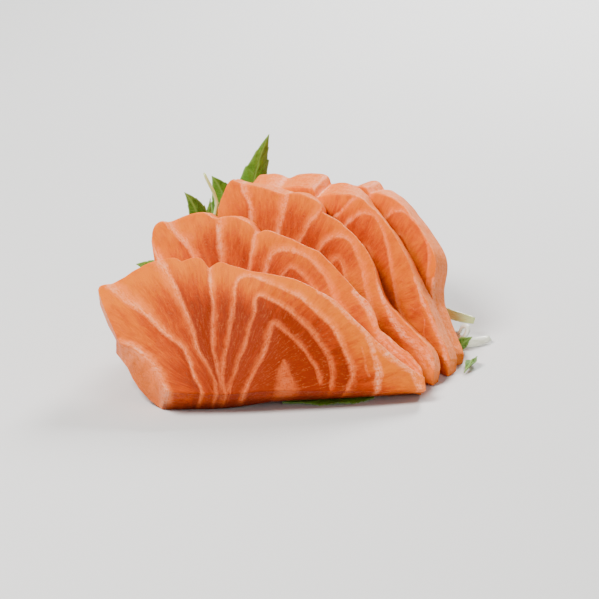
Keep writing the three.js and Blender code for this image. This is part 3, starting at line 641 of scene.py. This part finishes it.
class Nodes:
    """The nodes of a material. Each method from add on returns the output of the node that it adds."""

    def __init__(self, name):
        self.material = bpy.data.materials.new(name)
        self.material.use_nodes = True
        self.tree = self.material.node_tree
        self.shader = self.tree.nodes["Principled BSDF"]

    def feed(self, socket, value):
        if isinstance(value, bpy.types.NodeSocket):
            self.tree.links.new(value, socket)
        else:
            socket.default_value = value

    def complete(self, inputs):
        """Feeds the shader and returns the material."""
        for key, value in inputs.items():
            self.feed(self.shader.inputs[key], value)
        return self.material

    def add(self, kind, output, inputs, **settings):
        node = self.tree.nodes.new("ShaderNode" + kind)
        for key, value in settings.items():
            setattr(node, key, value)
        for key, value in inputs.items():
            self.feed(node.inputs[key], value)
        return node.outputs[output]

    def attribute(self, name, output="Fac"):
        return self.add("Attribute", output, {}, attribute_name=name)

    def times(self, a, b):
        return self.add("Math", 0, {0: a, 1: b}, operation="MULTIPLY")

    def plus(self, a, b):
        return self.add("Math", 0, {0: a, 1: b}, operation="ADD")

    def scale(self, vector, by):
        return self.add("VectorMath", 0, {0: vector, 1: by}, operation="MULTIPLY")

    def noise(self, vector, scale, detail=2.0, rough=0.5, distort=0.0):
        return self.add("TexNoise", "Fac", {
            "Vector": vector, "Scale": scale, "Detail": detail, "Roughness": rough, "Distortion": distort,
        })

    def ramp(self, fac, stops):
        node = self.tree.nodes.new("ShaderNodeValToRGB")
        elements = node.color_ramp.elements
        while len(elements) > 1:
            elements.remove(elements[-1])
        for i, (at, colour) in enumerate(stops):
            element = elements[0] if i == 0 else elements.new(at)
            element.position = at
            element.color = (*colour, 1)
        self.feed(node.inputs["Fac"], fac)
        return node.outputs["Color"]

    def map(self, value, a, b, c=0.0, d=1.0):
        return self.add("MapRange", "Result", {
            "Value": value, "From Min": a, "From Max": b, "To Min": c, "To Max": d,
        })

    def mix(self, fac, a, b):
        a, b = ((*value, 1) if isinstance(value, tuple) else value for value in (a, b))
        return self.add("Mix", "Result", {"Factor": fac, "A": a, "B": b}, data_type="RGBA")

    def bump(self, height, strength, distance, after=None):
        inputs = {"Strength": strength, "Distance": distance, "Height": height}
        return self.add("Bump", "Normal", inputs if after is None else {**inputs, "Normal": after})


# Colours of the flesh by its depth, of the outer skin and of the trimmed end, and the painted shade of the
# underside
FLESH = [
    (0.0, (0.79, 0.168, 0.002)), (0.25, (0.68, 0.122, 0.001)), (0.5, (0.55, 0.068, 0.001)),
    (0.75, (0.39, 0.034, 0.001)), (1.0, (0.25, 0.021, 0.004)),
]
SKIN = [(0.32, (0.72, 0.105, 0.001)), (0.5, (0.86, 0.165, 0.008)), (0.62, (1.0, 0.27, 0.07))]
TRIMMED = [(0.35, (0.50, 0.085, 0.005)), (0.55, (0.62, 0.125, 0.012)), (0.72, (0.80, 0.21, 0.06))]
FLECKS = (0.94, 0.24, 0.05)
UNDERSIDE_SHADE = (0.13, 0.011, 0.001)
# Colours of fat in shallow and in deep flesh, the deep ones partly painted shade: of its soft margin, its
# seam and the whitest of the seam
MARGIN = ((0.93, 0.205, 0.03), (0.56, 0.088, 0.014))
SEAM = ((1.0, 0.34, 0.15), (0.60, 0.115, 0.030))
WHITEST = ((1.0, 0.50, 0.31), (0.66, 0.18, 0.07))
# The middle stretch of a noise's values
NOISY = (0.3, 0.7)


def salmon_material():
    m = Nodes("salmon_flesh")
    fat, seam, depth_and_shade, skin, flap, underside_shade = (
        m.attribute(name) for name in ("fat", "seam", "depth_and_shade", "skin", "flap", "underside_shade"))
    fibre, place, band = (m.attribute(name, "Vector") for name in ("fibre", "place", "band"))
    streak = m.noise(fibre, 0.5, 3, 0.55)
    fine = m.noise(fibre, 1.6, 3, 0.6)
    cloud = m.noise(place, 0.2, 3, 0.5)
    speck = m.noise(place, 2.4, 3, 0.65)
    dash = m.noise(place, 1.9, 4, 0.75, 0.6)
    shade = depth_and_shade
    for grain, amount in ((streak, 0.15), (fine, 0.19), (cloud, 0.07)):
        shade = m.plus(shade, m.map(grain, *NOISY, -amount, amount))
    fleck = m.map(m.times(m.map(fine, 0.5, 0.7), m.map(speck, 0.40, 0.60)), 0, 1, 0, 0.32)
    colour = m.mix(fleck, m.ramp(shade, FLESH), FLECKS)
    across = m.noise(m.scale(place, (2.2, 1.0, 0.4)), 1.4, 4, 0.7)
    colour = m.mix(m.times(skin, 0.85), colour, m.ramp(across, SKIN))
    colour = m.mix(m.times(flap, 0.9), colour, m.ramp(dash, TRIMMED))
    # The fat shows through the fibres that cross it, in short strands and small islands
    crossing = m.noise(fibre, 1.1, 4, 0.7)
    strand = m.noise(m.scale(band, (0.7, 3.6, 1.0)), 1.0, 3, 0.6, 0.3)
    island = m.noise(place, 0.8, 3, 0.6)
    cover = m.times(crossing, 0.35)
    for part, weight in ((strand, 0.25), (island, 0.15), (speck, 0.25)):
        cover = m.plus(cover, m.times(part, weight))
    soft = m.times(fat, m.map(cover, 0.41, 0.59, 0.45, 1.35))
    thin = m.times(seam, m.map(cover, 0.43, 0.57, 0.1, 1.5))
    # Fat darkens with the depth of colour, and so takes the painted shade of the front slice's middle
    depth = m.map(depth_and_shade, 0.15, 1.0)
    colour = m.mix(m.map(soft, 0.12, 0.85), colour, m.mix(depth, *MARGIN))
    colour = m.mix(m.map(thin, 0.15, 0.95), colour, m.mix(depth, *SEAM))
    colour = m.mix(m.map(thin, 0.9, 1.4, 0, 0.85), colour, m.mix(depth, *WHITEST))
    return m.complete({
        # Painted shade over the underside
        "Base Color": m.mix(m.times(underside_shade, 0.75), colour, UNDERSIDE_SHADE),
        "Roughness": m.map(m.noise(place, 1.1, 3, 0.6), *NOISY, 0.32, 0.5),
        "Subsurface Weight": 0.22,
        "Subsurface Radius": (1.0, 0.32, 0.14),
        "Subsurface Scale": 0.0014,
        "Specular IOR Level": 0.14,
        "Specular Tint": (1.0, 0.55, 0.32, 1.0),
        "IOR": 1.4,
        "Normal": m.bump(m.plus(dash, fine), 0.35, 0.0003, m.bump(streak, 0.3, 0.0003)),
    })


# Colours of a leaf's blade from dark to light, and of its net of veins, its large veins and its margin
BLADE = [(0.3, (0.045, 0.130, 0.004)), (0.5, (0.092, 0.225, 0.010)), (0.72, (0.160, 0.340, 0.024))]
NET = (0.19, 0.37, 0.05)
VEINS = (0.26, 0.46, 0.09)
LEAF_MARGIN = (0.32, 0.50, 0.14)


def leaf_material():
    m = Nodes("leaf_green")
    vein, margin, tone_and_painted_light = (m.attribute(name) for name in ("vein", "margin", "tone_and_painted_light"))
    place = m.attribute("place", "Vector")
    cells = m.add("TexVoronoi", "Distance", {"Vector": place, "Scale": 1.5}, feature="DISTANCE_TO_EDGE")
    net = m.map(cells, 0.0, 0.12, 1.0, 0.0)
    green = m.ramp(m.plus(m.noise(place, 0.35, 4, 0.6), tone_and_painted_light), BLADE)
    for part, share_of, colour in ((net, 0.25, NET), (vein, 0.6, VEINS), (margin, 0.6, LEAF_MARGIN)):
        green = m.mix(m.times(part, share_of), green, colour)
    sunken = m.bump(m.plus(m.times(vein, -1.0), m.times(net, -0.35)), 0.5, 0.0003)
    return m.complete({
        "Base Color": green,
        "Roughness": 0.5,
        "Specular IOR Level": 0.25,
        "Subsurface Weight": 0.15,
        "Subsurface Radius": (0.5, 0.8, 0.2),
        "Subsurface Scale": 0.0006,
        "Normal": m.bump(m.noise(place, 4.0, 3, 0.6), 0.25, 0.0002, sunken),
    })


RADISH_WHITE = [(0.3, (0.60, 0.61, 0.47)), (0.55, (0.76, 0.78, 0.66)), (0.75, (0.86, 0.87, 0.80))]
RADISH_GREEN = [(0.3, (0.44, 0.53, 0.15)), (0.7, (0.66, 0.72, 0.34))]


def radish_material():
    m = Nodes("radish_white")
    along = m.noise(m.scale(m.attribute("place", "Vector"), (0.5, 3.0, 3.0)), 1.4, 4, 0.6)
    return m.complete({
        "Base Color": m.mix(m.attribute("tint"), m.ramp(along, RADISH_WHITE), m.ramp(along, RADISH_GREEN)),
        "Roughness": 0.32,
        "Subsurface Weight": 0.4,
        "Subsurface Radius": (1.0, 1.0, 0.8),
        "Subsurface Scale": 0.0012,
        "Coat Weight": 0.15,
        "Coat Roughness": 0.2,
        "Normal": m.bump(along, 0.3, 0.0003),
    })


# Leaves, by the same midribs as the solids: where the midrib starts, bends and ends, the side that the
# blade spreads to, its width, fold and wave, the teeth of a side, and how light it is, which on leaf_base is
# painted light
LEAVES = [
    dict(name="leaf_tall", path=((19, 72, 0.5), (17.5, 73, 26), (24.9, 73, 42.6)), side=(1, 0.15, 0.2),
         width=12, fold=0.25, wave=0.6, teeth=9),
    dict(name="leaf_middle", path=((13, 60, 0.5), (18, 64, 26), (10.8, 63, 35.1)), side=(0.9, 0.1, 0.4),
         width=12.5, fold=0.3, wave=0.5, teeth=8),
    dict(name="leaf_left", path=((3.5, 50.5, 0.5), (12.4, 50.5, 27), (4.5, 49.5, 35.7)),
         side=(0.75, 0.1, 0.65), width=9.4, fold=0.25, wave=0.5, teeth=8, tone_and_painted_light=-0.2),
    dict(name="leaf_short", path=((8.3, 55.5, 0.5), (9.2, 55.5, 20), (10.6, 55, 32.1)),
         side=(1, 0.1, 0.1), width=4.4, fold=0.25, wave=0.3, teeth=12),
    dict(name="leaf_low", path=((-1.5, 41, 0.5), (2.5, 41, 19.5), (-7.2, 42, 19.9)), side=(0.25, 0.15, 1),
         width=9, fold=0.2, wave=0.4, teeth=7),
    # Painted light: this leaf lies in the shade under the slices and is made lighter
    dict(name="leaf_base", path=((50, 7, 0.35), (41, 5.4, 0.35), (28.5, 3.2, 0.35)), side=(0, 1, 0),
         width=7, fold=0, wave=0.25, teeth=14, tone_and_painted_light=0.5),
    dict(name="leaf_right", path=((71, 34, 0.6), (71.6, 34, 2.6), (74.4, 34.4, 3.9)),
         side=(0.6, 0.1, -0.7), width=3.6, fold=0.2, wave=0.2, teeth=4, tone_and_painted_light=-0.1),
    dict(name="leaf_curl", path=((73.6, 27.6, 0.4), (74.7, 24.2, 2.8), (71.8, 20.3, 0.6)),
         side=(1, 0.2, 0.3), width=3.4, fold=0.2, wave=0.4, teeth=5, tone_and_painted_light=-0.5),
]
LEAF_ALONG = 120
LEAF_ACROSS = 32
LEAF_TOOTH = 0.15
LEAF_OUTLINE = (0.08, 0.995)
LEAF_FULLNESS = 0.8
LEAF_WAVE_PITCH = 15.6
LEAF_HALF_THICKNESS = 0.2
LEAF_LOWEST = 0.02
VEIN_SLANT = 1.1
VEIN_HALF_WIDTH = 0.16


def build_leaf(leaf, material):
    p0, p1, p2 = (np.array(p, float) for p in leaf["path"])
    side = np.array(leaf["side"], float)
    side /= np.linalg.norm(side)
    t = np.linspace(0, 1, LEAF_ALONG + 1)
    mid = ((1 - t) ** 2)[:, None] * p0 + (2 * t * (1 - t))[:, None] * p1 + (t**2)[:, None] * p2
    tangent = 2 * (1 - t)[:, None] * (p1 - p0) + 2 * t[:, None] * (p2 - p1)
    tangent /= np.linalg.norm(tangent, axis=1)[:, None]
    normal = np.cross(tangent, side)
    normal /= np.linalg.norm(normal, axis=1)[:, None]
    saw = (t * leaf["teeth"]) % 1.0
    tooth = 1 - LEAF_TOOTH * (1 - saw) ** 0.8 - 0.03 * np.sin(t * 47)
    outline = np.sin(math.pi * lerp(*LEAF_OUTLINE, t) ** LEAF_FULLNESS)
    half = np.maximum(0.12, leaf["width"] / 2 * tooth * outline)
    tt, aa = np.meshgrid(t, np.linspace(-1, 1, LEAF_ACROSS + 1), indexing="ij")
    outward = np.abs(aa)
    hh = half[:, None] * np.ones_like(aa)
    wave = leaf["wave"] * np.sin(tt * LEAF_WAVE_PITCH + 2 * aa) * outward * np.sin(math.pi * tt)
    crease = 0.10 * np.cos((tt * 9 - outward * 1.6) * 2 * math.pi) * outward * (1 - outward) * 2
    lift = leaf["fold"] * hh * outward + wave + crease * min(1, leaf["width"] / 8)
    base = mid[:, None, :] + side * (hh * aa)[..., None]
    thin = LEAF_HALF_THICKNESS * (1 - 0.75 * outward**6)
    sheets = [base + normal[:, None, :] * (lift + s * thin)[..., None] for s in (1, -1)]
    verts = np.concatenate([s.reshape(-1, 3) for s in sheets])
    verts[:, 2] = np.maximum(verts[:, 2], LEAF_LOWEST)
    count = aa.size
    grid = np.arange(count).reshape(aa.shape)
    rim = np.concatenate([grid[0, :-1], grid[:-1, -1], grid[-1, :0:-1], grid[:0:-1, 0]])
    around = np.stack([rim, rim + count, np.roll(rim, -1) + count, np.roll(rim, -1)], -1)
    faces = np.concatenate([grid_faces(grid), grid_faces(grid)[:, ::-1] + count, around[:, ::-1]])
    # A midrib, and side veins that leave it towards the teeth
    length = np.linalg.norm(np.diff(mid, axis=0), axis=1).sum()
    a, b = tt * length, aa * hh
    pitch = length / (leaf["teeth"] + 1.0)
    phase = (a - np.abs(b) * VEIN_SLANT) / pitch
    off = np.abs(phase - np.round(phase)) * pitch
    veins = bell(off, VEIN_HALF_WIDTH) * 0.6 * (1 - outward**3)
    vein = np.maximum(bell(b, 0.22 + 0.2 * (1 - tt)), veins).ravel()
    margin = bell((1 - outward) * hh, 0.28).ravel()
    at = np.stack([a, b, np.zeros_like(a)], -1).reshape(-1, 3) + len(leaf["name"]) * 3.7
    piece = make_mesh("blade_" + leaf["name"], verts + SHIFT, faces, {
        "vein": np.tile(vein, 2),
        "margin": np.tile(margin, 2),
        "place": np.tile(at, (2, 1)),
        "tone_and_painted_light": np.full(2 * count, leaf.get("tone_and_painted_light", 0)),
    })
    piece.data.materials.append(material)
    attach(piece, "root")
    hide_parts(leaf["name"])


# Heaps of shredded radish, and the loose strips on them: width, roll, how green, and path
HEAPS = [
    dict(name="radish_heap", middle=(53, 66), size=(14, 10, 19), turn=-30, count=130, seed=7),
    dict(name="radish_left", middle=(9, 59), size=(17, 8, 13), turn=62, count=110, seed=3),
]
LOOSE = {
    "radish_heap": [
        (2.4, 0.6, 0.0, [(58, 62, 3), (66, 51, 1.3), (70.4, 42, 1.1), (72.3, 38.2, 1.1),
                         (74.3, 37.4, 1.1), (79.2, 40.2, 1.1)]),
        (1.5, 0.0, 0.0, [(58, 60, 4), (65, 51, 2.5), (70.8, 42, 1.6), (72.4, 40.7, 4.1), (73.7, 39.9, 4.2),
                         (73.2, 39, 2.7), (71.7, 38.2, 1)]),
        (2.4, 0.9, 0.9, [(57, 62, 7), (63, 54, 6.6), (68.8, 46, 5.5), (75.4, 43, 4.6)]),
    ],
    "radish_left": [(0.9, 0.0, 1.0, [(7.5, 52, 9), (9.5, 53, 22), (12.2, 53.5, 31), (9.2, 54, 39.1)])],
}
STRIP_STEPS = 30
STRIP_SECTION = [(-1, -0.5), (-0.8, -1), (0.8, -1), (1, -0.5), (1, 0.5), (0.8, 1), (-0.8, 1), (-1, 0.5)]
STRIP_CAP = np.array([(0, 7, 6, 1), (1, 6, 5, 2), (2, 5, 4, 3)])
STRIP_WIDTH = (1.1, 2.0)
STRIP_TWIST = (-0.9, 0.9)
STRIP_THICKNESS = 0.7
STRIP_GAP = 0.7
LOOSE_THICKNESS = 0.8
LOOSE_TWIST = 0.5
CORE_SHARE = 0.76
CORE_GAP = 0.4
CORE_RINGS = 14
CORE_SIDES = 40
# How far a heap may stand out of the box of its solid
HEAP_OVER = 0.2


def strip(path, width, thick, roll, twist):
    """A thin strip with rounded edges along a path: points, faces and where each point lies on it."""
    curve = resample(spline(path, per=10), STRIP_STEPS + 1)
    tangent = np.gradient(curve, axis=0)
    tangent /= np.linalg.norm(tangent, axis=1)[:, None]
    across = np.cross(np.array([0, 0, 1.0]), tangent)
    across /= np.maximum(np.linalg.norm(across, axis=1), 1e-6)[:, None]
    normal = np.cross(tangent, across)
    t = np.linspace(0, 1, STRIP_STEPS + 1)
    spin = roll + twist * np.sin(math.pi * t)
    a = across * np.cos(spin)[:, None] + normal * np.sin(spin)[:, None]
    b = normal * np.cos(spin)[:, None] - across * np.sin(spin)[:, None]
    taper = 1 - 0.35 * np.exp(-t * 14) - 0.35 * np.exp(-(1 - t) * 14)
    edges = [
        curve + a * (x * width / 2 * taper)[:, None] + b * (y * thick / 2 * taper)[:, None]
        for x, y in STRIP_SECTION
    ]
    points = np.stack(edges, 1).reshape(-1, 3)
    points[:, 2] = np.maximum(points[:, 2], 0.0)
    rings = np.arange(len(points)).reshape(STRIP_STEPS + 1, -1)
    caps = [rings[0][STRIP_CAP], rings[-1][STRIP_CAP][:, ::-1]]
    section = np.tile(STRIP_SECTION, (STRIP_STEPS + 1, 1))
    along_it = np.repeat(t * 30, len(STRIP_SECTION))
    at = np.stack([along_it, section[:, 0] * width / 2, section[:, 1] * thick / 2], -1)
    return points, np.concatenate([tube_faces(rings), *caps]), at


def build_heap(heap, trees, material):
    """A heap of strips laid over a core, clear of the slices, whose faces the trees hold."""
    rng = np.random.RandomState(heap["seed"])
    low, high = (np.array(c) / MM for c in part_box(heap["name"]))
    c, s = math.cos(math.radians(heap["turn"])), math.sin(math.radians(heap["turn"]))
    verts, faces, place, tint = [], [], [], []

    def on_heap(p):
        x, y, z = p * np.array(heap["size"])
        return np.array([c * x - s * y + heap["middle"][0], s * x + c * y + heap["middle"][1], z]) + SHIFT

    def blocked(curve):
        for tree in trees:
            for q in curve:
                near, normal, _, dist = tree.find_nearest(Vector(q))
                if near is not None and (dist < STRIP_GAP or (Vector(q) - near).dot(normal) < 0):
                    return True
        return False

    def add(path, width, thick, roll, twist, green):
        points, strip_faces, at = strip(path, width, thick, roll, twist)
        faces.append(strip_faces + sum(len(v) for v in verts))
        verts.append(points)
        place.append(at + rng.rand(3) * 50)
        tint.append(np.full(len(points), green))

    for n in range(heap["count"]):
        heading = rng.rand() * math.pi
        offset = rng.uniform(-0.85, 0.85)
        swell = math.sqrt(1 - offset * offset)
        shell = rng.uniform(0.78, 0.985)
        begin = rng.uniform(-1.12, 0.35)
        end = min(1.12, begin + rng.uniform(0.5, 1.5))
        path = []
        for k in range(7):
            angle = lerp(begin, end, k / 6) * math.pi / 2
            forward = math.sin(angle) * swell * shell
            sideways = offset * shell + 0.1 * math.sin(k * 1.7 + n)
            path.append(on_heap(np.array([
                forward * math.cos(heading) - sideways * math.sin(heading),
                forward * math.sin(heading) + sideways * math.cos(heading),
                max(math.cos(angle) * swell * shell, 0.03),
            ])))
        width, twist = rng.uniform(*STRIP_WIDTH), rng.uniform(*STRIP_TWIST)
        if not blocked(resample(spline(path, per=4), 14)):
            add(path, width, STRIP_THICKNESS, 0, twist, 0.0)
    for width, roll, green, path in LOOSE[heap["name"]]:
        add(np.array(path, float) + SHIFT, width, LOOSE_THICKNESS, roll, LOOSE_TWIST, green)

    # A filled core, so that nothing shows through the strips
    core = []
    for i in range(CORE_RINGS + 1):
        rise = i / CORE_RINGS * math.pi / 2
        for k in range(CORE_SIDES):
            a = 2 * math.pi * k / CORE_SIDES
            r = CORE_SHARE + 0.05 * math.sin(5 * a + 3 * rise)
            core.append(on_heap(np.array([
                math.cos(rise) * math.cos(a) * r, math.cos(rise) * math.sin(a) * r, math.sin(rise) * r,
            ])))
    core = np.array(core)
    for j, q in enumerate(core):
        for tree in trees:
            near, normal, _, _ = tree.find_nearest(Vector(q))
            if near is not None and (Vector(q) - near).dot(normal) < CORE_GAP:
                core[j] = np.array(near + normal * CORE_GAP)
    core[:, 2] = np.maximum(core[:, 2], 0.0)
    rings = np.arange(len(core)).reshape(-1, CORE_SIDES)
    faces.append(tube_faces(rings) + sum(len(v) for v in verts))
    verts.append(core)
    place.append(core)
    tint.append(np.zeros(len(core)))
    points = np.clip(np.concatenate(verts), low - HEAP_OVER, high + HEAP_OVER)
    points[:, 2] = np.maximum(points[:, 2], 0.0)
    piece = make_mesh("shreds_" + heap["name"], points, np.concatenate(faces),
                      {"place": np.concatenate(place), "tint": np.concatenate(tint)})
    piece.data.materials.append(material)
    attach(piece, "root")
    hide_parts(heap["name"])


flesh = salmon_material()
green = leaf_material()
white = radish_material()

trees = []
for sl in SLICES:
    piece, verts, faces = build_slice(sl, trees[-1] if trees else None)
    piece.data.materials.append(flesh)
    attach(piece, "root")
    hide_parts(sl["name"])
    trees.append(BVHTree.FromPolygons([Vector(p) for p in verts], faces.tolist()))
for leaf in LEAVES:
    build_leaf(leaf, green)
for heap in HEAPS:
    build_heap(heap, trees, white)

# Stage, lights and camera, in metres
FLOOR = 3
floor_mesh = bpy.data.meshes.new("stage_floor")
floor_mesh.from_pydata(
    [(-FLOOR, -FLOOR, 0), (FLOOR, -FLOOR, 0), (FLOOR, FLOOR, 0), (-FLOOR, FLOOR, 0)], [], [(0, 1, 2, 3)])
floor = bpy.data.objects.new("stage_floor", floor_mesh)
bpy.context.scene.collection.objects.link(floor)
paper = Nodes("stage_paper")
floor_mesh.materials.append(paper.complete({
    "Base Color": paper.ramp(paper.noise(paper.add("TexCoord", "Object", {}), 3.0),
                             [(0.3, (0.70, 0.698, 0.69)), (0.7, (0.73, 0.728, 0.72))]),
    "Roughness": 0.85,
}))

world = bpy.data.worlds.new("studio")
bpy.context.scene.world = world
world.use_nodes = True
world.node_tree.nodes["Background"].inputs["Color"].default_value = (0.95, 0.97, 1.0, 1)
world.node_tree.nodes["Background"].inputs["Strength"].default_value = 0.22


def look_at(thing, place, aim):
    thing.location = Vector(place)
    thing.rotation_euler = (Vector(aim) - Vector(place)).to_track_quat("-Z", "Y").to_euler()
    bpy.context.scene.collection.objects.link(thing)


# Round lamps: place, height of the point that it faces, diameter, power in watts and colour
LAMPS = {
    "key": ((-0.28, -0.22, 0.50), 0.015, 0.24, 6.6, (1.0, 0.98, 0.95)),
    "back": ((0.18, 0.42, 0.34), 0.02, 0.20, 5.4, (1.0, 1.0, 1.0)),
    "fill": ((0.40, -0.35, 0.22), 0.015, 0.35, 0.7, (1.0, 0.98, 0.96)),
}
for name, (place, aim_height, size, power, colour) in LAMPS.items():
    lamp = bpy.data.lights.new(name, "AREA")
    lamp.shape = "DISK"
    lamp.size = size
    lamp.energy = power
    lamp.color = colour
    look_at(bpy.data.objects.new(name, lamp), place, (0, 0, aim_height))

# The photograph's view, looking down from the front. Lengths are in millimetres, and the focal length is
# in pixels of the image
IMAGE = 599
FOCAL = 3000.0
PIXELS_PER_MM = 4.2
SENSOR = 36.0
ELEVATION = math.radians(22)
target = np.array([32.5, 25.0, 17.5]) + SHIFT
eye = target + FOCAL / PIXELS_PER_MM * np.array([0, -math.cos(ELEVATION), math.sin(ELEVATION)])
camera_data = bpy.data.cameras.new("camera")
camera_data.sensor_width = SENSOR
camera_data.lens = SENSOR * FOCAL / IMAGE
camera_data.clip_start = 0.01
camera_data.clip_end = 20
camera = bpy.data.objects.new("camera", camera_data)
look_at(camera, eye * MM, target * MM)
bpy.context.scene.camera = camera
